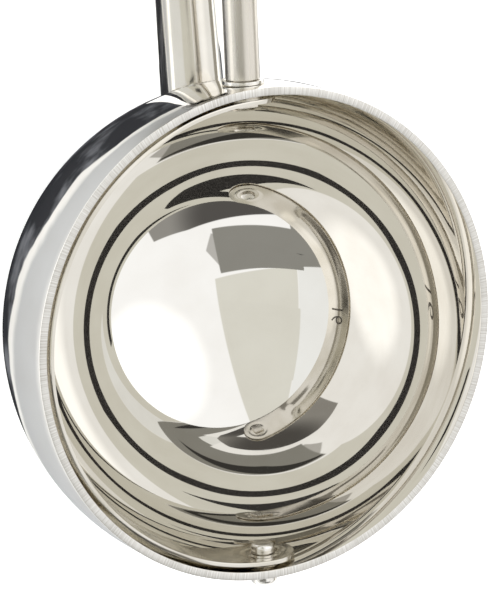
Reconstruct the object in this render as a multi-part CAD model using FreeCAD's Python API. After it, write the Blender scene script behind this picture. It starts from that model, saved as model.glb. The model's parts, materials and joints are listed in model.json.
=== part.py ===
import FreeCAD, Part
import math
import os
from FreeCAD import Vector

os.makedirs("parts", exist_ok=True)

# Stainless steel portion scoop with a squeeze handle, in millimetres.
# Origin: centre of the bowl's rim face.  +Z points out of the mouth, +Y runs along the handle, and
# the scraper blade rests against the -X side of the bowl.  The scoop lies on its back, so the bowl's
# underside and the two handle ends stand on one level.

Y = Vector(0, 1, 0)
Z = Vector(0, 0, 1)

# ---- clearances -------------------------------------------------------------------------------
running_gap = 0.05          # radial gap of every fit that turns
seat_gap = 0.03             # gap between faces that seat on each other within one body
side_gap = 0.4              # gap between flat parts that slide past each other

# ---- bowl -------------------------------------------------------------------------------------
bowl_inner_r = 28.5
bowl_wall = 1.0
rim_to_pivot = 4.2          # straight wall from the rim face down to the pivot axis
rim_break = 0.12            # broken edges of the rim

# ---- scraper blade ----------------------------------------------------------------------------
blade_gap = 0.5             # from the bowl's wall to the blade's back
blade_t = 0.5
blade_half_w = 3.7
bead_half_w = 2.4           # stiffening bead pressed along the blade
bead_h = 0.5
bead_end_deg = 17.0         # the bead stops this far short of each pole

# ---- far pivot --------------------------------------------------------------------------------
pin_r = 1.0
pin_head_r = 1.6
pin_head_h = 1.85
pin_tail_r = 1.4
pin_tail_h = 1.1
spacer_r = 1.7
spacer_t = 0.4

# ---- drive shaft ------------------------------------------------------------------------------
shaft_r = 2.05
shaft_step = 0.55           # from the shaft's radius down to its journals
thrust_washer_r = 2.5
thrust_washer_t = 0.4
tang_head_h = 0.8           # peened square end inside the bowl
tang_head_grow = 0.25

# ---- pinion and crown sector ------------------------------------------------------------------
gear_module = 0.7
pinion_teeth = 8
crown_teeth = 88            # teeth that a full crown would have, so the ratio is 88 / 8 = 11
pressure_deg = 25.0
rack_addendum = 0.45
pinion_addendum = 0.55
tip_gap = 0.2
tooth_play = 0.16           # how much thinner each tooth is than its share of the pitch
pinion_len = 5.0
sector_t = 1.5
sector_first = -2           # first and last crown tooth, counted from the mesh at rest
sector_last = 5

# ---- shank ------------------------------------------------------------------------------------
shank_r = 3.6
shank_wall = 0.8
shank_drop = 13.8           # below the shaft's axis, where the shank meets the bowl
shank_slope_deg = 4.0
swage_len = 18.0            # slightly opened end that is coped onto the bowl
swage_rise = 0.29
weld_w = 0.45
weld_h = 0.35
tack_r = 0.75               # short beads that fix the bracket to the shank
tack_len = 7.0
tack_inset = 3.0
tack_pitch = 11.0

# ---- bracket ----------------------------------------------------------------------------------
plate_t = 1.5
bowl_to_lever_pivot = 20.5
bracket_lead = 9.0          # from the bracket's front edge to the lever's pivot
bracket_wall_drop = 5.6
tab_behind_mesh = 5.2       # from the mesh to the upright tab
wing_reach = 10.4
wing_half_len = 4.0

# ---- lever ------------------------------------------------------------------------------------
squeeze_deg = 16.0
hub_r = 7.0
rivet_r = 1.9
rivet_foot_r = 2.8
rivet_foot_h = 0.6
rivet_head_r = 4.9
rivet_head_h = 0.9
head_to_shaft = 0.6
hub_sleeve_wall = 0.9
washer_grow = 2.6           # from the rivet's shank to the lever washer's edge
stop_r = 1.2
stop_reach = 16.0           # from the pivot to the stop pin
stop_end_gap = 0.15
stop_head_grow = 0.9
stop_head_h = 0.8
arm_half_w = 4.2
arm_gap = 1.0               # from the hub's edge to the arm
hook_beyond = 0.9           # from the arm's edge to the spring leg's hole
hook_ahead = 5.5            # from the lever's pivot to that hole, along the handle
arm_len = 24.0
lever_rivet_r = 1.5
lever_rivet_grow = 0.8
lever_rivet_h = 0.8
lever_rivet_pitch = 9.0

# ---- handles ----------------------------------------------------------------------------------
handle_wall = 1.0
handle_len = 95.9           # from the collar's cone to the butt of the fixed handle
fixed_bow = 12.0            # how far the fixed handle stands to +X
lever_bow = 13.0            # how far the squeezed lever stands to -X
grip_run = 36.0             # level run at the butt of each handle
bend_r = 28.0
bend_lead = 9.0             # from the collar's plug to the fixed handle's first bend
lever_lead = 6.0            # from the plate's arm to the lever tube's first bend
grip_fall = 27.0            # length over which each grip comes down to its level run
lever_dip = 2.0             # how much lower than halfway the lever tube is at its bow
cap_plug = 6.0
cap_dome = 1.6
collar_cone = 2.2
collar_plug = 5.0
collar_sleeve = 0.4         # room between the shank and the grip tube's bore
collar_lip = 0.6            # height of the cone's small end above the shank
eye_half_w = 4.5
eye_t = 2.0
eye_len = 7.0
eye_hole_r = 2.25

# ---- return spring ----------------------------------------------------------------------------
wire_r = 0.45
coil_r = 4.0
coil_turns = 2.0
arcs_per_turn = 4           # the coil's path is this many tangent arcs to a turn
coil_leave_deg = 90.0       # where both legs leave the coil, anticlockwise from +X
leg_straight = 2.4          # straight run of each leg before it turns to its hole
leg_bend_r = 1.2
leg_through = 0.3           # how far each leg's tip stands out under its hole
spring_hole_in = 1.8        # from the wing's edge to the fixed leg's hole
spring_hole_y = 2.0         # from the lever's pivot to that hole, along the handle

# ---- retaining clip and bush ------------------------------------------------------------------
bush_wall = 0.8
bush_flange_grow = 0.9
bush_flange_t = 0.7
clip_r = 2.9
clip_t = 0.5
clip_groove = 0.3
end_float = 0.2
cross_pin_r = 0.5

# ---- derived sizes ----------------------------------------------------------------------------
bowl_outer_r = bowl_inner_r + bowl_wall
shaft_z = -rim_to_pivot
pivot_centre = Vector(0, 0, shaft_z)
floor_z = shaft_z - bowl_outer_r

blade_outer_r = bowl_inner_r - blade_gap
blade_inner_r = blade_outer_r - blade_t

journal_r = shaft_r - shaft_step
tang_half = 0.98 * journal_r / math.sqrt(2)
shoulder_y = bowl_outer_r + thrust_washer_t + 2 * running_gap

lever_y = bowl_outer_r + bowl_to_lever_pivot
pinion_r = gear_module * pinion_teeth / 2
sector_r = gear_module * crown_teeth / 2
mesh_y = lever_y + sector_r
pitch_z = shaft_z - pinion_r
tooth_angle = 360.0 / crown_teeth

shank_dir = Vector(0, math.cos(math.radians(shank_slope_deg)), -math.sin(math.radians(shank_slope_deg)))
shank_foot = Vector(0, bowl_outer_r, shaft_z - shank_drop)


def shank_point(y):
    """The point of the shank's axis at this y."""
    return shank_foot + shank_dir * ((y - shank_foot.y) / shank_dir.y)


bracket_front = lever_y - bracket_lead
tab_y = mesh_y + tab_behind_mesh
bracket_back = tab_y + plate_t
bracket_in = shank_r + 3 * running_gap
bracket_out = bracket_in + plate_t
base_z0 = shank_point(bracket_front).z + shank_r + side_gap
base_z1 = base_z0 + plate_t
lever_z0 = base_z1 + side_gap
lever_z1 = lever_z0 + plate_t

rivet_top = shaft_z - shaft_r - head_to_shaft
rivet_under = rivet_top - rivet_head_h
lever_pivot = Vector(0, lever_y, 0)

handle_r = shank_r + collar_sleeve + handle_wall
butt_z = floor_z + handle_r
lever_tube_z = lever_z0 - seat_gap - handle_r
lever_tube_x = -(handle_r + bracket_out + 2 * side_gap)
collar_y = bracket_back + side_gap
handle_front = collar_y + collar_cone
shank_end_y = handle_front + collar_plug
handle_reach = handle_front + handle_len


# ---- helpers ----------------------------------------------------------------------------------
def cylinder(radius, length, start, axis):
    """A round bar from a start point along an axis."""
    return Part.makeCylinder(radius, length, start, axis)


def ring(outer, inner, length, start, axis):
    """A washer, bush or sleeve."""
    return cylinder(outer, length, start, axis).cut(cylinder(inner, length, start, axis))


def block(x0, x1, y0, y1, z0, z1):
    """A box between its lowest and highest coordinates."""
    return Part.makeBox(x1 - x0, y1 - y0, z1 - z0, Vector(x0, y0, z0))


def dome(radius, height, start, axis):
    """A rivet head: a spherical cap on a flat base of this radius."""
    sphere_r = (radius * radius + height * height) / (2 * height)
    centre = start + axis * (height - sphere_r)
    return Part.makeSphere(sphere_r, centre).common(cylinder(radius, 2 * height, start, axis))


def rounded_path(points, radius):
    """Straight runs through the points, joined by tangent arcs."""
    edges = []
    here = points[0]
    for i in range(1, len(points) - 1):
        corner = points[i]
        back = (points[i - 1] - corner).normalize()
        ahead = (points[i + 1] - corner).normalize()
        half = back.getAngle(ahead) / 2
        setback = radius / math.tan(half)
        inward = (back + ahead).normalize()
        centre = corner + inward * (radius / math.sin(half))
        start = corner + back * setback
        end = corner + ahead * setback
        edges.append(Part.LineSegment(here, start).toShape())
        edges.append(Part.Arc(start, centre - inward * radius, end).toShape())
        here = end
    edges.append(Part.LineSegment(here, points[-1]).toShape())
    return Part.Wire(edges)


def swept_bar(path, radius):
    """A round bar that follows a path."""
    first = path.Edges[0]
    start = first.valueAt(first.FirstParameter)
    axis = first.tangentAt(first.FirstParameter)
    profile = Part.Wire([Part.makeCircle(radius, start, axis)])
    shell = path.makePipeShell([profile], True, False).Shells[0]
    bar = Part.Solid(shell)
    return bar if bar.Volume > 0 else Part.Solid(shell.reversed())


def swept_tube(path, radius, wall):
    """A round tube that follows a path."""
    return swept_bar(path, radius).cut(swept_bar(path, radius - wall))


def turned(shape, degrees):
    """The shape turned about the lever's pivot, anticlockwise from above."""
    copy = shape.copy()
    copy.rotate(lever_pivot, Z, degrees)
    return copy


def write(name, *shapes):
    """Write one sub-part as its solids."""
    solids = [solid for shape in shapes for solid in shape.Solids]
    part = solids[0] if len(solids) == 1 else Part.makeCompound(solids)
    if not part.isValid():
        raise ValueError(name + " is not a sound solid")
    part.exportStep("parts/" + name + ".step")


# ---- bowl: drawn sheet, a hemisphere under a short straight wall ------------------------------
def bowl_form(radius, top):
    """The solid that a bowl surface of this radius encloses."""
    half_ball = Part.makeSphere(radius, pivot_centre).common(
        block(-2 * radius, 2 * radius, -2 * radius, 2 * radius, shaft_z - 2 * radius, shaft_z))
    return half_ball.fuse(cylinder(radius, top - shaft_z, pivot_centre, Z)).removeSplitter()


bowl_body = bowl_form(bowl_outer_r, 0).cut(bowl_form(bowl_inner_r, 1))
rim_edges = [e for e in bowl_body.Edges if abs(e.BoundBox.ZMin) < 1e-6 and abs(e.BoundBox.ZMax) < 1e-6]
bowl = bowl_body.makeChamfer(rim_break, rim_edges)
bowl = bowl.cut(cylinder(journal_r + running_gap, 3 * bowl_wall, pivot_centre + Y * (bowl_inner_r - 1), Y))
bowl = bowl.cut(cylinder(pin_r, 3 * bowl_wall, pivot_centre - Y * (bowl_inner_r - 1), -Y))
write("bowl", bowl)


# ---- scraper blade: half ring of sheet with a pressed bead and round ears ---------------------
def blade_ridge(profile_r):
    """The ridge of the bead: a shallow segment turned around the bowl's axis along the blade."""
    foot = Vector(-profile_r, 0, -bead_half_w)
    apex = Vector(-profile_r + bead_h, 0, 0)
    head = Vector(-profile_r, 0, bead_half_w)
    outline = Part.Wire([Part.Arc(foot, apex, head).toShape(), Part.LineSegment(head, foot).toShape()])
    ridge = Part.Face(outline)
    ridge.rotate(Vector(0, 0, 0), Z, -(90 - bead_end_deg))
    ridge = ridge.revolve(Vector(0, 0, 0), Z, 180 - 2 * bead_end_deg)
    ridge.translate(pivot_centre)
    return ridge


blade_band = ring(blade_outer_r, blade_inner_r, 2 * blade_half_w, pivot_centre - Z * blade_half_w, Z)
blade_keep = block(-2 * blade_outer_r, 0, -2 * blade_outer_r, 2 * blade_outer_r,
                   shaft_z - 2 * blade_half_w, shaft_z + 2 * blade_half_w)
ear_bar = cylinder(blade_half_w, 4 * blade_outer_r, pivot_centre - Y * 2 * blade_outer_r, Y)
blade = blade_band.common(blade_keep.fuse(ear_bar))
blade = blade.fuse(blade_ridge(blade_inner_r)).cut(blade_ridge(blade_outer_r + seat_gap))
tang_slot_half = tang_half + seat_gap
blade = blade.cut(block(-tang_slot_half, tang_slot_half, blade_inner_r - 2, blade_outer_r + 1,
                        shaft_z - tang_slot_half, shaft_z + tang_slot_half))
blade = blade.cut(cylinder(pin_r + running_gap, 4, pivot_centre - Y * (blade_inner_r - 2), -Y))
write("scraper_blade", blade.removeSplitter())

# ---- far pivot: a headed pin through the bowl, a spacer, and the blade's plain ear ------------
pin_head = dome(pin_head_r, pin_head_h, pivot_centre - Y * (bowl_outer_r + seat_gap), -Y)
pin_shank = cylinder(pin_r, bowl_outer_r + 2 * seat_gap - blade_inner_r + pin_tail_h / 2,
                     pivot_centre - Y * (bowl_outer_r + seat_gap), Y)
pin_tail = dome(pin_tail_r, pin_tail_h, pivot_centre - Y * (blade_inner_r - 2 * running_gap), Y)
write("far_pivot_pin", pin_shank.fuse([pin_head, pin_tail]).removeSplitter())
far_spacer = ring(spacer_r, pin_r + seat_gap, spacer_t, pivot_centre - Y * (blade_outer_r + running_gap), -Y)
write("far_pivot_spacer", far_spacer.common(Part.makeSphere(bowl_inner_r - seat_gap, pivot_centre)))

# ---- drive shaft: a plain bar with a journal at each end and a square tang for the blade ------
pinion_y0 = mesh_y - pinion_len / 2
clip_y = bracket_back + bush_flange_t + end_float
shaft_end_y = clip_y + 3 * clip_t
tang_head_half = tang_half + tang_head_grow
tang_foot_y = blade_inner_r - 2 * seat_gap
shaft_length = pinion_y0 - seat_gap - shoulder_y

shaft = cylinder(shaft_r, shaft_length, pivot_centre + Y * shoulder_y, Y)
front_journal = cylinder(journal_r, shoulder_y - blade_outer_r - running_gap,
                         pivot_centre + Y * (blade_outer_r + running_gap), Y)
back_journal = cylinder(journal_r, shaft_end_y - pinion_y0 + seat_gap,
                        pivot_centre + Y * (pinion_y0 - seat_gap), Y)
tang = block(-tang_half, tang_half, tang_foot_y - tang_head_h, blade_outer_r + running_gap,
             shaft_z - tang_half, shaft_z + tang_half)
tang_head = block(-tang_head_half, tang_head_half, tang_foot_y - tang_head_h, tang_foot_y,
                  shaft_z - tang_head_half, shaft_z + tang_head_half)
shaft = shaft.fuse([front_journal, back_journal, tang, tang_head])
shaft = shaft.cut(ring(journal_r + 1, journal_r - clip_groove, clip_t, pivot_centre + Y * clip_y, Y))
cross_pin_y = mesh_y - pinion_len / 4
cross_bore = cylinder(cross_pin_r, 6 * pinion_r, Vector(0, cross_pin_y, shaft_z - 3 * pinion_r), Z)
write("drive_shaft", shaft.cut(cross_bore).removeSplitter())

write("thrust_washer", ring(thrust_washer_r, journal_r + running_gap, thrust_washer_t,
                            pivot_centre + Y * (bowl_outer_r + running_gap), Y))
drive_spacer = ring(spacer_r + shaft_step, journal_r + running_gap, spacer_t - running_gap,
                    pivot_centre + Y * (blade_outer_r + 2 * running_gap), Y)
write("drive_spacer", drive_spacer.common(Part.makeSphere(bowl_inner_r - running_gap, pivot_centre)))


# ---- pinion: spur teeth on the shaft's upper end ----------------------------------------------
def involute(base_r, radius):
    """How far the involute has turned, in radians, where it reaches this radius."""
    angle = math.acos(base_r / radius)
    return math.tan(angle) - angle


def pinion_solid():
    """Spur teeth, one of them pointing straight down at rest."""
    base_r = pinion_r * math.cos(math.radians(pressure_deg))
    tip_r = pinion_r + pinion_addendum
    half_tooth = (math.pi * gear_module / 2 - tooth_play) / (2 * pinion_r) + involute(base_r, pinion_r)
    radii = [base_r + (tip_r - base_r) * k / 4 for k in range(5)]
    teeth = []
    for k in range(pinion_teeth):
        middle = 2 * math.pi * k / pinion_teeth
        left = [(middle - half_tooth, 0.9 * pinion_root_r)]
        left += [(middle - half_tooth + involute(base_r, r), r) for r in radii]
        right = [(2 * middle - angle, r) for angle, r in reversed(left)]
        outline = [Vector(r * math.sin(a), pinion_y0, shaft_z - r * math.cos(a)) for a, r in left + right]
        outline.append(outline[0])
        teeth.append(Part.Face(Part.makePolygon(outline)).extrude(Y * pinion_len))
    return cylinder(pinion_root_r, pinion_len, Vector(0, pinion_y0, shaft_z), Y).fuse(teeth)


pinion_root_r = pinion_r - rack_addendum - tip_gap
pinion = pinion_solid().cut(cylinder(journal_r + seat_gap, pinion_len, Vector(0, pinion_y0, shaft_z), Y))
write("pinion", pinion.cut(cross_bore).removeSplitter())
write("pinion_cross_pin", cylinder(cross_pin_r - seat_gap, 2 * pinion_root_r,
                                   Vector(0, cross_pin_y, shaft_z - pinion_root_r), Z))

# ---- upper bush and retaining clip ------------------------------------------------------------
bush_r = journal_r + running_gap + bush_wall
bush_sleeve = ring(bush_r, journal_r + running_gap, plate_t + bush_flange_t, Vector(0, tab_y, shaft_z), Y)
bush_flange = ring(bush_r + bush_flange_grow, journal_r + running_gap, bush_flange_t - seat_gap,
                   Vector(0, bracket_back + seat_gap, shaft_z), Y)
write("shaft_bush", bush_sleeve.fuse(bush_flange).removeSplitter())
clip_ring = ring(clip_r, journal_r - clip_groove + seat_gap, clip_t - 2 * seat_gap,
                 Vector(0, clip_y + seat_gap, shaft_z), Y)
clip_mouth = block(-0.7 * journal_r, 0.7 * journal_r, clip_y - 1, clip_y + 1, shaft_z, shaft_z + 2 * clip_r)
write("retaining_clip", clip_ring.cut(clip_mouth))

# ---- shank: a tube whose opened end is coped onto the bowl ------------------------------------
swage_start = shank_foot - shank_dir * (swage_len / 2)
shank_len = (shank_point(shank_end_y) - swage_start).Length
bore_r = shank_r - shank_wall
shank_outside = Part.makeCone(shank_r + swage_rise, shank_r, swage_len, swage_start, shank_dir).fuse(
    cylinder(shank_r, shank_len, swage_start, shank_dir))
shank_inside = Part.makeCone(bore_r + swage_rise, bore_r, swage_len, swage_start, shank_dir).fuse(
    cylinder(bore_r, shank_len, swage_start, shank_dir))
bowl_ball = Part.makeSphere(bowl_outer_r + seat_gap, pivot_centre)
write("shank_tube", shank_outside.cut(shank_inside).cut(bowl_ball).removeSplitter())

bowl_weld = cylinder(shank_r + swage_rise / 2 + weld_w, swage_len, swage_start, shank_dir)
bowl_weld = bowl_weld.cut(shank_outside).cut(bowl_ball)
bowl_weld = bowl_weld.common(Part.makeSphere(bowl_outer_r + seat_gap + weld_h, pivot_centre))
write("shank_weld", bowl_weld)

# ---- bracket: folded plate that straddles the shank, with an upright tab for the shaft --------
channel = block(-bracket_out, bracket_out, bracket_front, bracket_back,
                base_z0 - bracket_wall_drop, base_z1)
fold_edges = [e for e in channel.Edges
              if abs(abs(e.CenterOfMass.x) - bracket_out) < 1e-6 and abs(e.CenterOfMass.z - base_z1) < 1e-6]
channel = channel.makeFillet(0.8 * plate_t, fold_edges)
channel = channel.cut(block(-bracket_in, bracket_in, bracket_front - 1, bracket_back + 1,
                            base_z0 - bracket_wall_drop - 1, base_z0))
tab = block(-bracket_out, bracket_out, tab_y, bracket_back, base_z0 + plate_t / 2, shaft_z).fuse(
    cylinder(bracket_out, plate_t, Vector(0, tab_y, shaft_z), Y))
wing = block(0, wing_reach, lever_y - wing_half_len, lever_y + wing_half_len, base_z0, base_z1)
spring_hole = Vector(wing_reach - spring_hole_in, lever_y + spring_hole_y, base_z0)
bracket = channel.fuse([tab, wing])
bracket = bracket.cut(cylinder(bush_r + seat_gap, 3 * plate_t, Vector(0, tab_y - plate_t, shaft_z), Y))
stop_foot = Vector(0, lever_y + stop_reach, base_z0)
for radius, foot in ((rivet_r + seat_gap, lever_pivot + Z * base_z0), (stop_r + seat_gap, stop_foot),
                     (wire_r + 2 * running_gap, spring_hole)):
    bracket = bracket.cut(cylinder(radius, 3 * plate_t, foot - Z * plate_t, Z))
write("bracket", bracket.removeSplitter())

tacks = []
for side in (-1, 1):
    for y in (bracket_front + tack_inset, bracket_front + tack_inset + tack_pitch,
              bracket_back - 2 * tack_pitch, bracket_back - tack_pitch):
        bead = cylinder(tack_r, tack_len, Vector(side * bracket_in, y, shank_point(y).z), shank_dir)
        bead = bead.cut(shank_outside).cut(bracket)
        tacks += [solid for solid in bead.Solids if solid.Volume > 0.05]
write("bracket_welds", *tacks)

# ---- lever pivot: a headed rivet, its washer and the lever's hub sleeve -----------------------
rivet_foot = cylinder(rivet_foot_r, rivet_foot_h, lever_pivot + Z * (base_z0 - seat_gap), -Z)
rivet_head = cylinder(rivet_head_r, rivet_head_h, lever_pivot + Z * rivet_under, Z)
head_rim = [e for e in rivet_head.Edges if abs(e.BoundBox.ZMin - rivet_top) < 1e-6]
rivet_head = rivet_head.makeFillet(rivet_head_h / 2, head_rim)
rivet_shank = cylinder(rivet_r, rivet_under - base_z0 + seat_gap, lever_pivot + Z * (base_z0 - seat_gap), Z)
write("lever_rivet", rivet_shank.fuse([rivet_foot.cut(shank_outside), rivet_head]).removeSplitter())
write("lever_washer", ring(rivet_r + washer_grow, rivet_r + running_gap, side_gap - 2 * running_gap,
                           lever_pivot + Z * (base_z1 + seat_gap), Z))
sleeve_r = rivet_r + running_gap + hub_sleeve_wall
write("lever_hub", ring(sleeve_r, rivet_r + running_gap, rivet_under - lever_z1 - 3 * running_gap,
                        lever_pivot + Z * lever_z1, Z))

# ---- stop pin: stands in the lever's arc slot and ends its travel both ways -------------------
stop_top = stop_foot + Z * (lever_z1 + side_gap - base_z0)
stop_pin = cylinder(stop_r, stop_top.z - stop_foot.z, stop_foot, Z).fuse(
    dome(stop_r + stop_head_grow, stop_head_h, stop_top, Z))
write("stop_pin", stop_pin.removeSplitter())


# ---- lever: flat plate with a hub, a fan for the crown sector and an arm over the tube --------
def at_angle(radius, degrees, z):
    """A point this far from the lever's pivot, at an angle measured anticlockwise from +Y."""
    a = math.radians(degrees)
    return Vector(-radius * math.sin(a), lever_y + radius * math.cos(a), z)


def prism(points, z0, z1):
    """An upright prism on a flat outline."""
    face = Part.Face(Part.makePolygon(points + [points[0]]))
    return face.extrude(Z * (z1 - z0))


sector_in = sector_r - sector_t / 2
sector_out = sector_r + sector_t / 2
fan_right = sector_first * tooth_angle
fan_left = (sector_last + 1) * tooth_angle
fan_disc = cylinder(sector_out, plate_t, lever_pivot + Z * lever_z0, Z)
fan_wedge = prism([at_angle(0, 0, lever_z0), at_angle(2 * sector_out, fan_right, lever_z0),
                   at_angle(2 * sector_out, (fan_right + fan_left) / 2, lever_z0),
                   at_angle(2 * sector_out, fan_left, lever_z0)], lever_z0, lever_z1)
hub_flank = prism([at_angle(hub_r, fan_right - 90, lever_z0), at_angle(sector_in, fan_right, lever_z0),
                   at_angle(sector_in, fan_left, lever_z0), at_angle(hub_r, fan_left + 90, lever_z0)],
                  lever_z0, lever_z1)
arm_y0 = lever_y + hub_r + arm_gap
arm = block(lever_tube_x - arm_half_w, lever_tube_x + arm_half_w, arm_y0, arm_y0 + arm_len,
            lever_z0, lever_z1)
web = block(lever_tube_x, 0, lever_y + 2, arm_y0 + 0.6 * arm_len, lever_z0, lever_z1)
arm_corners = [e for e in arm.Edges if abs(e.BoundBox.ZLength - plate_t) < 1e-6]
arm = arm.makeFillet(0.45 * arm_half_w, arm_corners)
plate = fan_disc.common(fan_wedge).fuse([
    hub_flank, cylinder(hub_r, plate_t, lever_pivot + Z * lever_z0, Z),
    turned(arm, squeeze_deg), turned(web, squeeze_deg)]).removeSplitter()
plate = plate.cut(cylinder(rivet_r + running_gap, plate_t, lever_pivot + Z * lever_z0, Z))

slot_half = stop_r + stop_end_gap
slot = ring(stop_reach + slot_half, stop_reach - slot_half, plate_t, lever_pivot + Z * lever_z0, Z)
slot = slot.common(prism([at_angle(0, 0, lever_z0), at_angle(2 * stop_reach, 0, lever_z0),
                          at_angle(2 * stop_reach, squeeze_deg, lever_z0)], lever_z0, lever_z1))
slot_ends = [cylinder(slot_half, plate_t, at_angle(stop_reach, a, lever_z0), Z) for a in (0, squeeze_deg)]
plate = plate.cut(slot.fuse(slot_ends))
first_rivet_y = arm_y0 + cap_plug + 2 * lever_rivet_r
lever_rivet_points = [Vector(lever_tube_x, first_rivet_y + k * lever_rivet_pitch, 0) for k in range(2)]
for point in lever_rivet_points:
    plate = plate.cut(turned(cylinder(lever_rivet_r, plate_t, point + Z * lever_z0, Z), squeeze_deg))
lever_hook = Vector(lever_tube_x + arm_half_w + hook_beyond, lever_y + hook_ahead, lever_z0)
plate = plate.cut(turned(cylinder(wire_r + 2 * running_gap, plate_t, lever_hook, Z), squeeze_deg))
write("lever_plate", plate.removeSplitter())

# ---- crown sector: upright toothed strip along the fan's edge, meshing under the pinion -------
strip_top = pitch_z + rack_addendum
root_z = pitch_z - pinion_addendum - tip_gap
strip = ring(sector_out, sector_in, strip_top - lever_z1, lever_pivot + Z * lever_z1, Z)
strip = strip.common(prism([at_angle(0, 0, lever_z1), at_angle(2 * sector_out, fan_right, lever_z1),
                            at_angle(2 * sector_out, (fan_right + fan_left) / 2, lever_z1),
                            at_angle(2 * sector_out, fan_left, lever_z1)], lever_z1, strip_top))
flank = math.tan(math.radians(pressure_deg))
gap_half = (math.pi * gear_module / 2 + tooth_play) / 2
gap_top = gap_half + flank * (rack_addendum + 1)
gap_foot = gap_half - flank * (pitch_z - root_z)
gap_start = lever_y + sector_in - sector_t
gap_outline = [Vector(-gap_top, gap_start, strip_top + 1), Vector(-gap_foot, gap_start, root_z),
               Vector(gap_foot, gap_start, root_z), Vector(gap_top, gap_start, strip_top + 1)]
gap = Part.Face(Part.makePolygon(gap_outline + [gap_outline[0]])).extrude(Y * 3 * sector_t)
gaps = [turned(gap, k * tooth_angle) for k in range(sector_first, sector_last + 2)]
write("crown_sector", strip.cut(gaps[0].fuse(gaps[1:])).removeSplitter())

# ---- fixed handle: grip tube swaged onto the shank, bowed to +X and level at its butt ---------
fixed_start = shank_point(handle_front)
level_y = handle_reach - grip_run
bow_y = level_y - grip_fall
fixed_points = [fixed_start, shank_point(handle_front + collar_plug + bend_lead),
                Vector(fixed_bow, bow_y, (butt_z + shank_point(bow_y).z) / 2),
                Vector(fixed_bow, level_y, butt_z), Vector(fixed_bow, handle_reach, butt_z)]
fixed_path = rounded_path(fixed_points, bend_r)
write("fixed_handle", swept_tube(fixed_path, handle_r, handle_wall))

collar_start = shank_point(collar_y)
grip_bore = handle_r - handle_wall - seat_gap
collar = Part.makeCone(shank_r + collar_lip, handle_r, collar_cone - seat_gap, collar_start, shank_dir)
collar = collar.fuse(cylinder(grip_bore, collar_cone + collar_plug, collar_start, shank_dir))
collar = collar.cut(cylinder(shank_r + seat_gap, 3 * collar_plug, collar_start - shank_dir * 2, shank_dir))
write("handle_collar", collar.removeSplitter())

# ---- lever tube: grip tube riveted under the plate's arm --------------------------------------
lever_points = [Vector(lever_tube_x, arm_y0, lever_tube_z),
                Vector(lever_tube_x, arm_y0 + arm_len + lever_lead, lever_tube_z),
                Vector(-lever_bow, bow_y, (butt_z + lever_tube_z) / 2 - lever_dip),
                Vector(-lever_bow, level_y, butt_z), Vector(-lever_bow, handle_reach, butt_z)]
lever_tube = swept_tube(rounded_path(lever_points, bend_r), handle_r, handle_wall)
rivets = []
for point in lever_rivet_points:
    low = Vector(point.x, point.y, lever_tube_z - handle_r - seat_gap)
    high = Vector(point.x, point.y, lever_z1 + seat_gap)
    lever_tube = lever_tube.cut(cylinder(lever_rivet_r + seat_gap, 4 * handle_r, low - Z, Z))
    rivet = cylinder(lever_rivet_r - seat_gap, high.z - low.z, low, Z)
    rivet = rivet.fuse([dome(lever_rivet_r + lever_rivet_grow, lever_rivet_h, high, Z),
                        dome(lever_rivet_r + lever_rivet_grow, lever_rivet_h, low, -Z)])
    rivets.append(turned(rivet.removeSplitter(), squeeze_deg))
write("lever_tube", turned(lever_tube, squeeze_deg))
write("lever_tube_rivets", *rivets)


# ---- end caps: domed plugs pressed into the tubes ---------------------------------------------
def end_cap(end, outward):
    """A plug with a shallow domed face."""
    plug = cylinder(grip_bore, cap_plug, end, -outward)
    face = dome(handle_r, cap_dome, end + outward * seat_gap, outward)
    return face.fuse(cylinder(grip_bore, seat_gap + 0.1, end, outward)).fuse(plug).removeSplitter()


write("lever_front_cap", turned(end_cap(lever_points[0], -Y), squeeze_deg))
write("lever_end_cap", turned(end_cap(lever_points[-1], Y), squeeze_deg))

eye_y = handle_reach + cap_dome + eye_len
eye_tab = block(fixed_bow - eye_half_w, fixed_bow + eye_half_w, handle_reach + cap_dome - 0.3, eye_y,
                butt_z - eye_t / 2, butt_z + eye_t / 2)
eye_tab = eye_tab.fuse(cylinder(eye_half_w, eye_t, Vector(fixed_bow, eye_y, butt_z - eye_t / 2), Z))
fixed_cap = end_cap(fixed_points[-1], Y)
eye_hole = cylinder(eye_hole_r, 2 * eye_t, Vector(fixed_bow, eye_y, butt_z - eye_t), Z)
write("handle_end_cap", fixed_cap)
write("hanging_eye", eye_tab.cut(fixed_cap).cut(eye_hole).removeSplitter())

# ---- return spring: a coil around the hub sleeve, one leg in the wing, one in the lever -------
coil_z0 = lever_z1 + wire_r + 2 * running_gap
coil_z1 = rivet_under - wire_r - 2 * running_gap


def coil_point(turns):
    """The middle of the wire after this many turns of the coil."""
    angle = math.radians(coil_leave_deg + 360 * turns)
    rise = (coil_z1 - coil_z0) * turns / coil_turns
    return lever_pivot + Vector(coil_r * math.cos(angle), coil_r * math.sin(angle), coil_z0 + rise)


def coil_arc(k):
    """One arc of the coil's path."""
    stations = [coil_point((k + share) / arcs_per_turn) for share in (0, 0.5, 1)]
    return Part.Arc(*stations).toShape()


def spring_leg(turns, hook, z_tip, sense):
    """A leg that leaves the coil after this many turns and bends down into its hole."""
    angle = math.radians(coil_leave_deg + 360 * turns)
    root = coil_point(turns)
    knee = root + Vector(-math.sin(angle), math.cos(angle), 0) * (sense * leg_straight)
    over = Vector(hook.x, hook.y, root.z)
    tip = Vector(hook.x, hook.y, z_tip)
    return swept_bar(rounded_path([root, knee, over, tip], leg_bend_r), wire_r)


coil = swept_bar(Part.Wire([coil_arc(k) for k in range(round(coil_turns * arcs_per_turn))]), wire_r)
hook_at_rest = turned(Part.Vertex(lever_hook), squeeze_deg).Point
fixed_leg = spring_leg(0, spring_hole, base_z0 - leg_through, -1)
lever_leg = spring_leg(coil_turns, hook_at_rest, lever_z0 - leg_through, 1)
write("return_spring", coil, fixed_leg)
write("return_spring_leg", lever_leg)

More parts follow.
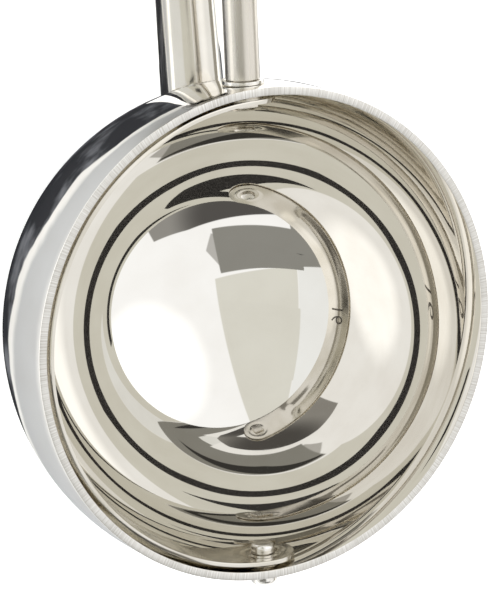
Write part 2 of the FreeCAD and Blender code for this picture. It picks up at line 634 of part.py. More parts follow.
print("bowl volume to the rim, ml:", round((bowl_form(bowl_inner_r, 0).Volume) / 1000, 1))
print("sector radius", sector_r, "ratio", crown_teeth / pinion_teeth)
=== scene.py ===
import json
import math
import bpy
from mathutils import Matrix, Vector


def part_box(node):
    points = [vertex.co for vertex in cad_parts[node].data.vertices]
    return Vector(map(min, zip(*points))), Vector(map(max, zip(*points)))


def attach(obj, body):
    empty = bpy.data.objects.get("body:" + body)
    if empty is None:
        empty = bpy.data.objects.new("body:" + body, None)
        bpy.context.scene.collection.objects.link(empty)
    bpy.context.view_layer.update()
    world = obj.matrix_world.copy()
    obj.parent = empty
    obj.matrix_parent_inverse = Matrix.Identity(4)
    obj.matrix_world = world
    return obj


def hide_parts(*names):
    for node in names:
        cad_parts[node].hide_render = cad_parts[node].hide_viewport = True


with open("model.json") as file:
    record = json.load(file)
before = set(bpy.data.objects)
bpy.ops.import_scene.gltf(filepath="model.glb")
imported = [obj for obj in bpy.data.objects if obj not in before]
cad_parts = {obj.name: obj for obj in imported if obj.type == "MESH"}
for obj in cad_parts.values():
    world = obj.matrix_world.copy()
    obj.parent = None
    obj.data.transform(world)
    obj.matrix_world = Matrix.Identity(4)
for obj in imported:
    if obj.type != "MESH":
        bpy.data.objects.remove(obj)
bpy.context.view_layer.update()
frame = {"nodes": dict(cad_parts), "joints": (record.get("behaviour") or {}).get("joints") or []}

mm = 0.001

# ---- the table: a plain pale sheet --------------------------------------------------------------
# The scoop lies on its back on a white sheet, so its bowl and the two grips touch it.
# The sheet is much larger than the scoop, and it is lit a little from below.
table_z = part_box("bowl")[0].z
table_half = 3.0
table_glow = 0.5


def select_only(piece):
    """Makes one piece the only one that the next operator acts on."""
    bpy.ops.object.select_all(action="DESELECT")
    piece.select_set(True)
    bpy.context.view_layer.objects.active = piece


class Shade:
    """One output of a shader node. Adding and multiplying it adds Math nodes."""

    def __init__(self, tree, socket=None):
        self.tree = tree
        self.socket = socket

    def node(self, kind, settings, values, output=0):
        """Adds a node: first its settings, then a value or a link for each of its sockets."""
        made = self.tree.nodes.new(kind)
        for name, setting in settings.items():
            setattr(made, name, setting)
        for name, value in values.items():
            if isinstance(value, Shade):
                self.tree.links.new(value.socket, made.inputs[name])
            else:
                made.inputs[name].default_value = value
        return Shade(self.tree, made.outputs[output])

    def math(self, operation, first, second=0.0):
        return self.node("ShaderNodeMath", {"operation": operation}, {0: first, 1: second})

    def __add__(self, other):
        return self.math("ADD", self, other)

    def __radd__(self, other):
        return self.math("ADD", other, self)

    def __mul__(self, other):
        return self.math("MULTIPLY", self, other)

    def __rmul__(self, other):
        return self.math("MULTIPLY", other, self)

    def rise(self, low, high):
        """0 below one value, 1 above another, and a smooth slope between them."""
        return self.node("ShaderNodeMapRange", {"interpolation_type": "SMOOTHSTEP"},
                         {"Value": self, "From Min": low, "From Max": high})

    def blend(self, under, over):
        """One colour turning into another as this value goes from 0 to 1."""
        return self.node("ShaderNodeMix", {"data_type": "RGBA"}, {0: self, 6: under, 7: over}, 2)

    def noise(self, scale, detail=2.0, stretch=(1, 1, 1)):
        """Cloudy noise on the piece's own coordinates, this many lumps to a metre."""
        place = self.node("ShaderNodeTexCoord", {}, {}, "Object")
        place = self.node("ShaderNodeMapping", {}, {"Vector": place, "Scale": stretch})
        return self.node("ShaderNodeTexNoise", {}, {"Vector": place, "Scale": scale, "Detail": detail})


def finish(name, surface):
    """A material whose shader the function surface builds from a Shade and the shader's own node."""
    material = bpy.data.materials.new(name)
    material.use_nodes = True
    tree = material.node_tree
    shader = tree.nodes["Principled BSDF"]
    for socket, value in surface(Shade(tree)).items():
        if isinstance(value, Shade):
            tree.links.new(value.socket, shader.inputs[socket])
        else:
            shader.inputs[socket].default_value = value
    return material


def white_sheet(shade):
    """Matt white sheet with faint fibres."""
    fibre = shade.noise(900, 4)
    return {"Base Color": fibre.blend((0.90, 0.90, 0.90, 1), (0.94, 0.94, 0.935, 1)), "Roughness": 0.9,
            "Emission Color": (1, 1, 1, 1), "Emission Strength": table_glow}


bpy.ops.object.select_all(action="DESELECT")
bpy.ops.mesh.primitive_plane_add(size=2 * table_half, location=(0, 0, table_z))
table = bpy.context.object
table.name = "table_sheet"
bpy.ops.object.transform_apply(location=True, rotation=True, scale=True)
table.data.materials.append(finish("white_sheet", white_sheet))

# ---- the studio: a white tent with a few grey and beige cards -----------------------------------
# Polished steel shows what stands around it, so the tent's cards are placed by bearing and height.
# Bearings are in degrees from +Y towards +X, and heights are degrees above the table.
tent_white = (1.11, 1.11, 1.11, 1)
lamp_glow = (1.50, 1.50, 1.50, 1)
low_reflector = (0.97, 0.98, 0.97, 1)
reflector_beige = (0.81, 0.80, 0.73, 1)
cloud_grey = (0.56, 0.55, 0.53, 1)
wall_grey = (0.30, 0.295, 0.27, 1)
wall_edge = (0.05, 0.048, 0.045, 1)
shelf_grey = (0.33, 0.32, 0.30, 1)
shelf_dark = (0.10, 0.095, 0.09, 1)
low_wall = (0.42, 0.40, 0.35, 1)
edge_softness = 0.006
glow_softness = 0.10
sun_lean = (math.radians(10), math.radians(-20), 0)
sun_strength = 1.4
sun_width = math.radians(90)


def bearing(degrees, height):
    """The direction at this bearing and height."""
    a = math.radians(degrees)
    h = math.radians(height)
    return Vector((math.cos(h) * math.sin(a), math.cos(h) * math.cos(a), math.sin(h)))


def round_patch(way, middle, radius):
    """1 in the middle of a soft round patch, and 0 beyond this many degrees from it."""
    toward = way.node("ShaderNodeVectorMath", {"operation": "DOT_PRODUCT"}, {0: way, 1: middle}, "Value")
    edge = math.cos(math.radians(radius))
    return toward.rise(edge, edge + glow_softness)


def card_patch(way, *corners):
    """1 inside a flat card that is seen between these corners, given clockwise."""
    patch = 1.0
    for here, after in zip(corners, corners[1:] + corners[:1]):
        side = bearing(*here).cross(bearing(*after)).normalized()
        inside = way.node("ShaderNodeVectorMath", {"operation": "DOT_PRODUCT"}, {0: way, 1: side}, "Value")
        patch = patch * inside.rise(-edge_softness, edge_softness)
    return patch


world = bpy.data.worlds.new("studio_tent")
bpy.context.scene.world = world
world.use_nodes = True
tent = Shade(world.node_tree)
way = tent.node("ShaderNodeTexCoord", {}, {}, "Generated")
light = tent.node("ShaderNodeMix", {"data_type": "RGBA"}, {0: 0.0, 6: tent_white, 7: tent_white}, 2)
shelf = card_patch(way, (145, 50), (180, 52), (-145, 36), (-140, 20), (180, 28), (145, 28))
for patch, colour in (
        (round_patch(way, bearing(50, 52), 32), lamp_glow),
        (card_patch(way, (20, 9), (150, 9), (150, 0.5), (20, 0.5)), low_wall),
        (card_patch(way, (-175, 4.3), (-5, 4.3), (-90, -60)), low_reflector),
        (card_patch(way, (-143, 75.6), (-6.7, 5.8), (-110.5, 39.2)), reflector_beige),
        (card_patch(way, (-172, 64), (-150, 69), (-147, 55), (-172, 55)), cloud_grey),
        (card_patch(way, (-135, 73), (-110.5, 39.2), (-105, 20), (-125, 20), (-172.5, 52.6)), wall_grey),
        (card_patch(way, (-135, 73), (-125, 62), (-108, 38), (-116, 33), (-138, 55), (-146, 70)), wall_edge),
        (shelf, shelf_grey),
        (shelf * round_patch(way, bearing(-165, 42), 28), shelf_dark),
        (card_patch(way, (160, 55), (-133, 32.5), (-140, 29), (160, 53.5)), tent_white)):
    light = patch.blend(light, colour)
world.node_tree.links.new(light.socket, world.node_tree.nodes["Background"].inputs["Color"])

bpy.ops.object.light_add(type="SUN", rotation=sun_lean)
soft_sun = bpy.context.object
soft_sun.data.energy = sun_strength
soft_sun.data.angle = sun_width
soft_sun.visible_glossy = False


def reflected_card(name, corners, surface):
    """A four-cornered card, in millimetres, that only polished steel sees."""
    bpy.ops.object.select_all(action="DESELECT")
    bpy.ops.mesh.primitive_plane_add(size=1)
    card = bpy.context.object
    card.name = name
    for vertex, corner in zip(card.data.vertices, corners):
        vertex.co = Vector(corner) * mm
    card.data.materials.append(finish(name, surface))
    card.visible_camera = False
    card.visible_diffuse = False
    card.visible_shadow = False


def dark_cloth(shade):
    """Black cloth with a faint weave."""
    weave = shade.noise(300, 3)
    return {"Base Color": weave.blend((0.008, 0.007, 0.007, 1), (0.018, 0.016, 0.015, 1)),
            "Roughness": 0.9}


# The mat is seen only in the steel. Its dark middle is a painted shadow of the bowl on the table, and the
# bright ring round it is a painted caustic.
shadow_middle = (5 * mm, 10 * mm, table_z)
shadow_edge_waver = 8 * mm
caustic_from = 41 * mm
border_from = 43.5 * mm
sheet_from = 66 * mm


def painted_shadow_mat(shade):
    """A mat seen only in the steel: a painted shadow, dark under the bowl, ringed by a painted bright
    caustic, then a blue-grey border.
    """
    place = shade.node("ShaderNodeTexCoord", {}, {}, "Object")
    off = shade.node("ShaderNodeVectorMath", {"operation": "DISTANCE"}, {0: place, 1: shadow_middle}, "Value")
    off = off + shadow_edge_waver * shade.noise(60, 3)
    # Painted shadow under the bowl, dark and cloudy, then a painted bright caustic ring round it.
    shadow_cloud = shade.noise(110, 4).rise(0.45, 0.7).blend((0.03, 0.032, 0.04, 1), (0.20, 0.21, 0.24, 1))
    shadow_and_caustic = off.rise(caustic_from, caustic_from + 1 * mm).blend(shadow_cloud, (0.95, 0.95, 0.95, 1))
    border = off.rise(border_from, border_from + 3.5 * mm).blend(shadow_and_caustic, (0.55, 0.565, 0.59, 1))
    sheet = off.rise(sheet_from, sheet_from + 19 * mm).blend(border, (0.95, 0.95, 0.95, 1))
    return {"Base Color": sheet, "Roughness": 0.9}


def painted_reflection_glow(colour):
    """A card that glows with the colour of what stands behind it, though it is no lamp: a painted reflection
    of that colour.
    """
    def surface(shade):
        faint = shade.noise(40, 1)
        return {"Base Color": (0, 0, 0, 1), "Roughness": 1.0, "Specular IOR Level": 0.0,
                "Emission Color": faint.blend(colour, tuple(0.98 * part for part in colour)),
                "Emission Strength": 1.0}
    return surface


# The two masks lie across the bowl's mouth. They glow with painted reflections of the beige card and the grey
# wall, which hide the dark cards from the middle of its reflection.
mask_z = -4.2
shadow_mat_z = table_z / mm + 0.03
strip_z = table_z / mm + 0.06
for name, corners, surface in (
        ("dark_cloth", ((-98, 90, 84), (-46, 90, 84), (-98, 90, 150), (-50, 90, 150)), dark_cloth),
        # The mat under the bowl: a painted shadow with a painted caustic ring, seen only in reflections.
        ("painted_shadow_mat", ((-85, -80, shadow_mat_z), (95, -80, shadow_mat_z), (-85, 100, shadow_mat_z), (95, 100, shadow_mat_z)),
         painted_shadow_mat),
        ("pale_strip", ((-1, 27, strip_z), (45, 27, strip_z), (-1, 110, strip_z), (45, 110, strip_z)),
         white_sheet),
        # Glowing cards that paint a reflection of the beige card and the grey wall into the bowl's middle.
        ("beige_reflection_mask", ((-8.5, -2.0, mask_z), (3.6, -3.6, mask_z), (-8.5, 12.0, mask_z),
                        (2.2, 12.4, mask_z)), painted_reflection_glow(reflector_beige)),
        ("grey_reflection_mask", ((-10.4, -12.0, mask_z), (4.5, -12.0, mask_z), (-10.2, -8.8, mask_z),
                       (3.6, -6.9, mask_z)), painted_reflection_glow(wall_grey))):
    reflected_card(name, corners, surface)

# ---- the camera: looks down into the bowl from the left, a long lens from half a metre ---------
# Its upright runs along the handle, and polished steel sees its dark front.
view_azimuth = 151.0
view_tilt = 29.5
view_roll = -2.46
view_distance = 500 * mm
view_lens = 261.1
mirror_bounces = 24
view_target = Vector((-1.9, 4.8, -2.2)) * mm

tilt = math.radians(view_tilt)
azimuth = math.radians(view_azimuth)
back = Vector((math.sin(tilt) * math.cos(azimuth), math.sin(tilt) * math.sin(azimuth), math.cos(tilt)))
right = Vector((0, 1, 0)).cross(back).normalized()
right.rotate(Matrix.Rotation(math.radians(view_roll), 3, back))
camera_turn = Matrix((right, back.cross(right), back)).transposed()
bpy.ops.object.camera_add(location=view_target + back * view_distance, rotation=camera_turn.to_euler())
camera = bpy.context.object
camera.data.lens = view_lens
camera.data.clip_start = 10 * mm
bpy.context.scene.camera = camera
front_reach = 200
front_half = 14
front_shift = 5
camera_front = [back * front_reach + right * (front_shift + across) + back.cross(right) * up
                for up in (-front_half, front_half) for across in (-front_half, front_half)]
reflected_card("camera_front", camera_front, dark_cloth)
bpy.context.scene.view_settings.view_transform = "Standard"
bpy.context.scene.cycles.max_bounces = mirror_bounces
bpy.context.scene.cycles.glossy_bounces = mirror_bounces

# ---- the bowl: half a ball under a short straight wall -----------------------------------------
# It is drawn from 1 mm stainless sheet, polished to a mirror inside and out, and its rim is ground flat.
# The drive shaft and the far pivot pin pass through a hole each, on the axis that the scraper turns on.
bowl_low, bowl_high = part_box("bowl")
bowl_r = (bowl_high.x - bowl_low.x) / 2
bowl_wall = 1.0 * mm
rim_z = bowl_high.z
rim_break = 0.12 * mm
pivot = Vector(next(j["pos_m"] for j in frame["joints"] if j["name"] == "scraper_turn"))
journal_hole_r = 1.55 * mm
pin_r = 1.0 * mm
seat_gap = 0.03 * mm


def settle(piece, name, degrees=25):
    """Names a piece, puts its place into its mesh, and smooths it up to this angle."""
    piece.name = name
    piece.data.name = name
    select_only(piece)
    bpy.ops.object.transform_apply(location=True, rotation=True, scale=True)
    bpy.ops.object.shade_smooth_by_angle(angle=math.radians(degrees))


def modify(piece, kind, **settings):
    """Adds a modifier to a piece, sets it and applies it."""
    select_only(piece)
    modifier = piece.modifiers.new(kind.lower(), kind)
    for name, setting in settings.items():
        setattr(modifier, name, setting)
    bpy.ops.object.modifier_apply(modifier=modifier.name)


def pick(piece, kind, test):
    """Selects the edges or faces of a piece whose middle passes a test."""
    mesh = piece.data
    bpy.context.tool_settings.mesh_select_mode = (False, kind == "edge", kind == "face")
    for vertex in mesh.vertices:
        vertex.select = False
    for edge in mesh.edges:
        ends = [mesh.vertices[i].co for i in edge.vertices]
        edge.select = kind == "edge" and test((ends[0] + ends[1]) / 2)
    for face in mesh.polygons:
        face.select = kind == "face" and test(face.center)


def edit(piece, operator, **settings):
    """Runs one edit-mode operator on what is selected in a piece."""
    bpy.ops.object.mode_set(mode="EDIT")
    operator(**settings)
    bpy.ops.object.mode_set(mode="OBJECT")


def round_bar(start, end, radius, start_round=0.0, end_round=0.0, sides=64):
    """A round bar between two points, with a bevel or a rounding of this size at each end."""
    along = end - start
    bpy.ops.object.select_all(action="DESELECT")
    bpy.ops.mesh.primitive_cylinder_add(vertices=sides, radius=radius, depth=along.length,
                                        location=(start + end) / 2,
                                        rotation=along.to_track_quat("Z", "Y").to_euler())
    piece = bpy.context.object
    bpy.ops.object.transform_apply(location=True, rotation=True, scale=True)
    for middle, size in ((start, start_round), (end, end_round)):
        if size:
            pick(piece, "edge", lambda co, at=middle: abs((co - at).dot(along.normalized())) < 0.01 * mm)
            edit(piece, bpy.ops.mesh.bevel, offset=size, segments=6, affect="EDGES")
    return piece


def cut(piece, cutter):
    """Takes the cutter's shape out of a piece, and the cutter away."""
    modify(piece, "BOOLEAN", operation="DIFFERENCE", solver="EXACT", object=cutter)
    bpy.data.objects.remove(cutter)


bpy.ops.object.select_all(action="DESELECT")
bpy.ops.mesh.primitive_uv_sphere_add(segments=192, ring_count=96, radius=bowl_r, location=pivot)
bowl = bpy.context.object
bpy.ops.object.transform_apply(location=True, rotation=True, scale=True)
bpy.ops.object.mode_set(mode="EDIT")
bpy.ops.mesh.select_all(action="SELECT")
bpy.ops.mesh.bisect(plane_co=pivot, plane_no=(0, 0, 1), clear_outer=True)
bpy.ops.object.mode_set(mode="OBJECT")
pick(bowl, "edge", lambda co: co.z > pivot.z - 0.01 * mm)
edit(bowl, bpy.ops.mesh.extrude_edges_move,
     TRANSFORM_OT_translate={"value": (0, 0, rim_z - pivot.z)})
modify(bowl, "SOLIDIFY", thickness=bowl_wall, offset=-1)
modify(bowl, "BEVEL", width=rim_break, segments=2, limit_method="ANGLE", angle_limit=math.radians(60))
cut(bowl, round_bar(pivot + Vector((0, bowl_r - 3 * mm, 0)), pivot + Vector((0, bowl_r + 1 * mm, 0)),
                    journal_hole_r))
cut(bowl, round_bar(pivot - Vector((0, bowl_r - 3 * mm, 0)), pivot - Vector((0, bowl_r + 1 * mm, 0)),
                    pin_r + seat_gap))
settle(bowl, "polished_bowl")


def mirror_polish(shade):
    wave = shade.noise(55, 1)
    haze = shade.noise(150, 5)
    fine = shade.noise(2600, 3, (1, 1, 6))
    wavy = shade.node("ShaderNodeBump", {}, {"Strength": 1.0, "Distance": 0.03 * mm, "Height": wave})
    return {"Base Color": haze.rise(0.3, 0.75).blend((0.85, 0.835, 0.80, 1), (0.81, 0.79, 0.75, 1)),
            "Metallic": 1.0, "Roughness": 0.018 + 0.03 * haze.rise(0.55, 0.8) + 0.02 * fine.rise(0.6, 0.8),
            "Normal": wavy}


def ground_rim(shade):
    """Fine marks that run outwards across the rim, left by the grinding belt."""
    place = shade.node("ShaderNodeTexCoord", {}, {}, "Object")
    split = shade.node("ShaderNodeSeparateXYZ", {}, {"Vector": place})
    x, y = split, Shade(split.tree, split.socket.node.outputs["Y"])
    turn = shade.math("ARCTAN2", y, x)
    marks = shade.node("ShaderNodeTexNoise", {"noise_dimensions": "1D"}, {"W": turn, "Scale": 160.0})
    low = shade.node("ShaderNodeTexNoise", {"noise_dimensions": "1D"}, {"W": turn, "Scale": 9.0})
    bump = shade.node("ShaderNodeBump", {}, {"Strength": 0.5, "Distance": 0.02 * mm, "Height": marks})
    return {"Base Color": marks.rise(0.3, 0.7).blend((0.58, 0.56, 0.52, 1), (0.74, 0.73, 0.70, 1)),
            "Metallic": 1.0, "Roughness": 0.30 + 0.2 * low.rise(0.3, 0.7), "Normal": bump}


bowl.data.materials.append(finish("mirror_polish", mirror_polish))
bowl.data.materials.append(finish("ground_rim", ground_rim))
for face in bowl.data.polygons:
    face.material_index = int(face.normal.z > 0.5 and face.center.z > rim_z - rim_break)
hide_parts("bowl")
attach(bowl, "frame")

# ---- the scraper: a half hoop of thin steel that sweeps round the inside of the bowl -----------
# It is pressed from strip: a bead down its middle stiffens it, and a round ear at each end takes
# a pivot.
# The trade size number is stamped across its middle, and the square hole turns with the shaft.
blade_low, blade_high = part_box("scraper_blade")
blade_t = 0.5 * mm
blade_r = -blade_low.x - blade_t / 2
blade_half_w = (blade_high.z - blade_low.z) / 2
bead_half_w = 4.4 * mm
bead_h = 0.9 * mm
bead_end = math.radians(73)
bead_fade = math.radians(11)
ear_share = 0.12
dimple_r = 2.2 * mm
dimple_w = 0.32 * mm
dimple_depth = 0.10 * mm
tang_hole_half = 1.07 * mm


def eased(share):
    """A smooth step from 0 to 1."""
    share = min(max(share, 0.0), 1.0)
    return share * share * (3 - 2 * share)


def wrapped(along, across, above=0.0):
    """Where a spot of the flat strip lies once it is pressed and bent to the hoop."""
    turn = along / blade_r
    bead = bead_h * max(0.0, 1 - (across / bead_half_w) ** 2) ** 2
    bead *= eased((bead_end - abs(turn)) / bead_fade)
    reach = math.hypot(abs(along) - blade_r * math.pi / 2, across)
    radius = blade_r - bead - above + dimple_depth * math.exp(-((reach - dimple_r) / dimple_w) ** 2)
    return pivot + Vector((-radius * math.cos(turn), radius * math.sin(turn), across))


bpy.ops.object.select_all(action="DESELECT")
bpy.ops.mesh.primitive_grid_add(x_subdivisions=300, y_subdivisions=30, size=2)
blade = bpy.context.object
for vertex in blade.data.vertices:
    share = abs(vertex.co.x)
    ear = max(0.0, (share - (1 - ear_share)) / ear_share) * math.pi / 2
    along = min(share / (1 - ear_share), 1.0) * blade_r * math.pi / 2 + blade_half_w * math.sin(ear)
    across = vertex.co.y * blade_half_w * math.cos(ear)
    vertex.co = wrapped(math.copysign(along, vertex.co.x), across)
select_only(blade)
bpy.ops.object.mode_set(mode="EDIT")
bpy.ops.mesh.select_all(action="SELECT")
bpy.ops.mesh.remove_doubles(threshold=0.001 * mm)
bpy.ops.object.mode_set(mode="OBJECT")
modify(blade, "SOLIDIFY", thickness=blade_t, offset=0)
modify(blade, "BEVEL", width=0.06 * mm, segments=2, limit_method="ANGLE", angle_limit=math.radians(60))
cut(blade, round_bar(pivot - Vector((0, blade_r - 2 * mm, 0)), pivot - Vector((0, blade_r + 1 * mm, 0)),
                     pin_r + 2 * seat_gap))
bpy.ops.mesh.primitive_cube_add(size=1, location=pivot + Vector((0, blade_r, 0)),
                                scale=(2 * tang_hole_half, 3 * mm, 2 * tang_hole_half))
cut(blade, bpy.context.object)


def pressed_steel(shade):
    """Polished strip, drawn out along the hoop, with a few rubbed patches."""
    rubbed = shade.noise(110, 3)
    drawn = shade.noise(900, 3, (1, 1, 5))
    bump = shade.node("ShaderNodeBump", {}, {"Strength": 0.35, "Distance": 0.01 * mm, "Height": drawn})
    return {"Base Color": rubbed.rise(0.35, 0.7).blend((0.70, 0.67, 0.61, 1), (0.60, 0.565, 0.49, 1)),
            "Metallic": 1.0, "Roughness": 0.10 + 0.05 * rubbed.rise(0.4, 0.7) + 0.04 * drawn, "Normal": bump}


def stamped_number(shade):
    """The sunk strokes of the number, darker where polish and dirt stay in them."""
    grime = shade.noise(4000, 2)
    return {"Base Color": grime.rise(0.3, 0.7).blend((0.09, 0.08, 0.07, 1), (0.24, 0.22, 0.19, 1)),
            "Metallic": 0.6, "Roughness": 0.5 + 0.2 * grime}


number_size = 6.0 * mm
number_depth = 0.10 * mm
number_thin = 0.03 * mm
bpy.ops.object.text_add(location=(0, 0, 0))
number = bpy.context.object
number.data.body = "16"
number.data.size = number_size
number.data.align_x = "CENTER"
number.data.align_y = "CENTER"
number.data.offset = -number_thin
number.data.extrude = number_depth
number.data.resolution_u = 4
bpy.ops.object.convert(target="MESH")
number = bpy.context.object
bpy.ops.object.mode_set(mode="EDIT")
bpy.ops.mesh.select_all(action="SELECT")
bpy.ops.mesh.remove_doubles(threshold=0.001 * mm)
bpy.ops.mesh.subdivide(number_cuts=5)
bpy.ops.object.mode_set(mode="OBJECT")
for vertex in number.data.vertices:
    vertex.co = wrapped(vertex.co.x, vertex.co.y, blade_t / 2 + vertex.co.z)
pressed_finish = finish("pressed_steel", pressed_steel)
stamped_finish = finish("stamped_number", stamped_number)
for piece in (blade, number):
    piece.data.materials.append(pressed_finish)
    piece.data.materials.append(stamped_finish)
for face in number.data.polygons:
    face.material_index = 1
cut(blade, number)
settle(blade, "pressed_scraper")
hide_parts("scraper_blade")
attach(blade, "scraper")

# ---- the far pivot: a headed pin, peened over inside the blade's ear ---------------------------
# It is turned from bar. Its domed head stands outside the bowl, and a thin spacer keeps the ear
# off the wall.
head_low, head_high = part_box("far_pivot_pin")
pin_head_r = (head_high.x - head_low.x) / 2
pin_tail_r = 1.4 * mm
pin_tail_h = 1.1 * mm
spacer_low, spacer_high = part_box("far_pivot_spacer")


def on_axis(y):
    """The point of the scraper's axis at this distance along the handle."""
    return Vector((0, y, pivot.z))


def joined(pieces):
    """Several shells made one piece."""
    select_only(pieces[0])
    for piece in pieces[1:]:
        piece.select_set(True)
    bpy.ops.object.join()
    return pieces[0]


def washer(start, end, outer, inner):
    """A flat ring between two points."""
    ring = round_bar(start, end, outer, sides=96)
    reach = (end - start).normalized() * mm
    cut(ring, round_bar(start - reach, end + reach, inner, sides=96))
    modify(ring, "BEVEL", width=0.04 * mm, segments=2, limit_method="ANGLE", angle_limit=math.radians(60))
    return ring


def turned_steel(shade):
    """Bright turned steel with tool marks round the axis and worn spots."""
    worn = shade.noise(700, 3)
    marks = shade.noise(5200, 2, (1, 4, 1))
    bump = shade.node("ShaderNodeBump", {}, {"Strength": 0.3, "Distance": 0.012 * mm, "Height": marks})
    return {"Base Color": worn.rise(0.35, 0.7).blend((0.82, 0.80, 0.76, 1), (0.66, 0.64, 0.60, 1)),
            "Metallic": 1.0, "Roughness": 0.14 + 0.14 * worn.rise(0.4, 0.75), "Normal": bump}


rivet_finish = finish("turned_steel", turned_steel)
pin_inner_y = head_high.y
pin = joined([
    round_bar(on_axis(-bowl_r - seat_gap), on_axis(head_low.y), pin_head_r, 0.10 * mm, 0.75 * mm),
    round_bar(on_axis(-bowl_r - seat_gap), on_axis(pin_inner_y - 0.3 * mm), pin_r),
    round_bar(on_axis(pin_inner_y - pin_tail_h), on_axis(pin_inner_y), pin_tail_r, 0.08 * mm, 0.45 * mm)])
pin.data.materials.append(rivet_finish)
settle(pin, "far_pivot_pin_turned")
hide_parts("far_pivot_pin")
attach(pin, "frame")

spacer = washer(on_axis(spacer_low.y), on_axis(spacer_high.y), (spacer_high.x - spacer_low.x) / 2,
                pin_r + seat_gap)
spacer.data.materials.append(rivet_finish)
settle(spacer, "far_spacer_ring")
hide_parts("far_pivot_spacer")
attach(spacer, "frame")

# ---- the drive shaft: a plain bar from the gears to the bowl -----------------------------------
# Drawn steel with a satin surface. A thinner journal passes through the bowl's wall, and a square
# tang is peened over the blade's ear. A thrust washer sits between its shoulder and the bowl.
shaft_low, shaft_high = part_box("drive_shaft")
shaft_r = (shaft_high.x - shaft_low.x) / 2
journal_r = 1.5 * mm
washer_low, washer_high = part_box("thrust_washer")
shoulder_y = washer_high.y + 0.05 * mm
gear_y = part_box("pinion")[0].y
blade_back_y = blade_r + blade_t / 2
tang_half = 1.04 * mm
tang_head_half = 1.29 * mm
tang_head_h = 0.8 * mm


def satin_bar(shade):
    """Drawn bar: long faint lines along it, and a warm tint where it was handled."""
    lines = shade.noise(2600, 3, (1, 0.03, 1))
    tint = shade.noise(90, 3, (1, 0.4, 1))
    bump = shade.node("ShaderNodeBump", {}, {"Strength": 0.5, "Distance": 0.012 * mm, "Height": lines})
    return {"Base Color": tint.rise(0.35, 0.7).blend((0.70, 0.665, 0.60, 1), (0.60, 0.56, 0.48, 1)),
            "Metallic": 1.0, "Roughness": 0.24 + 0.10 * lines.rise(0.35, 0.65), "Normal": bump}


def square_block(start_y, end_y, half):
    """A square length of the tang."""
    bpy.ops.object.select_all(action="DESELECT")
    bpy.ops.mesh.primitive_cube_add(size=1, location=on_axis((start_y + end_y) / 2),
                                    scale=(2 * half, abs(end_y - start_y), 2 * half))
    block = bpy.context.object
    bpy.ops.object.transform_apply(location=True, rotation=True, scale=True)
    modify(block, "BEVEL", width=0.18 * mm, segments=3, limit_method="ANGLE", angle_limit=math.radians(60))
    return block


shaft = joined([
    round_bar(on_axis(shoulder_y), on_axis(gear_y - seat_gap), shaft_r, 0.15 * mm, 0.15 * mm),
    round_bar(on_axis(blade_back_y + seat_gap), on_axis(shoulder_y + mm), journal_r),
    round_bar(on_axis(gear_y - mm), on_axis(shaft_high.y), journal_r, 0.0, 0.2 * mm),
    square_block(shaft_low.y + tang_head_h / 2, blade_back_y + 2 * seat_gap, tang_half),
    square_block(shaft_low.y, shaft_low.y + tang_head_h, tang_head_half)])
shaft.data.materials.append(finish("satin_bar", satin_bar))
settle(shaft, "drive_shaft_bar")
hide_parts("drive_shaft")
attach(shaft, "scraper")

thrust = washer(on_axis(washer_low.y), on_axis(washer_high.y), (washer_high.x - washer_low.x) / 2,
                journal_r + 0.05 * mm)
thrust.data.materials.append(rivet_finish)
settle(thrust, "thrust_washer_ring")
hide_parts("thrust_washer")
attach(thrust, "frame")

# ---- the shank: a steel tube that carries the bowl ---------------------------------------------
# Its opened end is shaped to the bowl, welded on all round and ground clean, and its other end
# carries the mechanism's bracket and the fixed grip.
shank_r = 3.6 * mm
shank_wall = 0.8 * mm
swage_len = 18 * mm
swage_rise = 0.29 * mm
shank_slope = math.radians(4)
shank_dir = Vector((0, math.cos(shank_slope), -math.sin(shank_slope)))
shank_drop = 13.8 * mm
shank_foot = Vector((0, bowl_r, pivot.z - shank_drop))
shank_end_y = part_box("shank_tube")[1].y
swage_start = shank_foot - shank_dir * (swage_len / 2)
shank_len = (shank_end_y - 0.25 * mm - swage_start.y) / shank_dir.y

bpy.ops.object.select_all(action="DESELECT")
bpy.ops.mesh.primitive_cone_add(vertices=96, radius1=shank_r + swage_rise, radius2=shank_r, depth=swage_len,
                                end_fill_type="NOTHING", location=swage_start + shank_dir * (swage_len / 2),
                                rotation=shank_dir.to_track_quat("Z", "Y").to_euler())
shank = bpy.context.object
bpy.ops.object.transform_apply(location=True, rotation=True, scale=True)
swage_end = swage_start + shank_dir * swage_len
pick(shank, "edge", lambda co: abs((co - swage_end).dot(shank_dir)) < 0.01 * mm)
edit(shank, bpy.ops.mesh.extrude_edges_move,
     TRANSFORM_OT_translate={"value": shank_dir * (shank_len - swage_len)})
modify(shank, "SOLIDIFY", thickness=shank_wall, offset=-1)
bpy.ops.mesh.primitive_uv_sphere_add(segments=192, ring_count=96, radius=bowl_r + seat_gap, location=pivot)
cut(shank, bpy.context.object)


def polished_tube(shade):
    """Buffed tube: nearly a mirror, with faint lines along it and cloudy patches."""
    lines = shade.noise(1900, 2, (1, 0.04, 1))
    cloud = shade.noise(110, 4)
    bump = shade.node("ShaderNodeBump", {}, {"Strength": 0.25, "Distance": 0.01 * mm, "Height": lines})
    return {"Base Color": cloud.rise(0.3, 0.7).blend((0.76, 0.735, 0.68, 1), (0.68, 0.65, 0.59, 1)),
            "Metallic": 1.0, "Roughness": 0.07 + 0.10 * cloud.rise(0.45, 0.75) + 0.04 * lines, "Normal": bump}


tube_finish = finish("polished_tube", polished_tube)
shank.data.materials.append(tube_finish)
settle(shank, "shank_tube_polished")
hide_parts("shank_tube")
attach(shank, "frame")

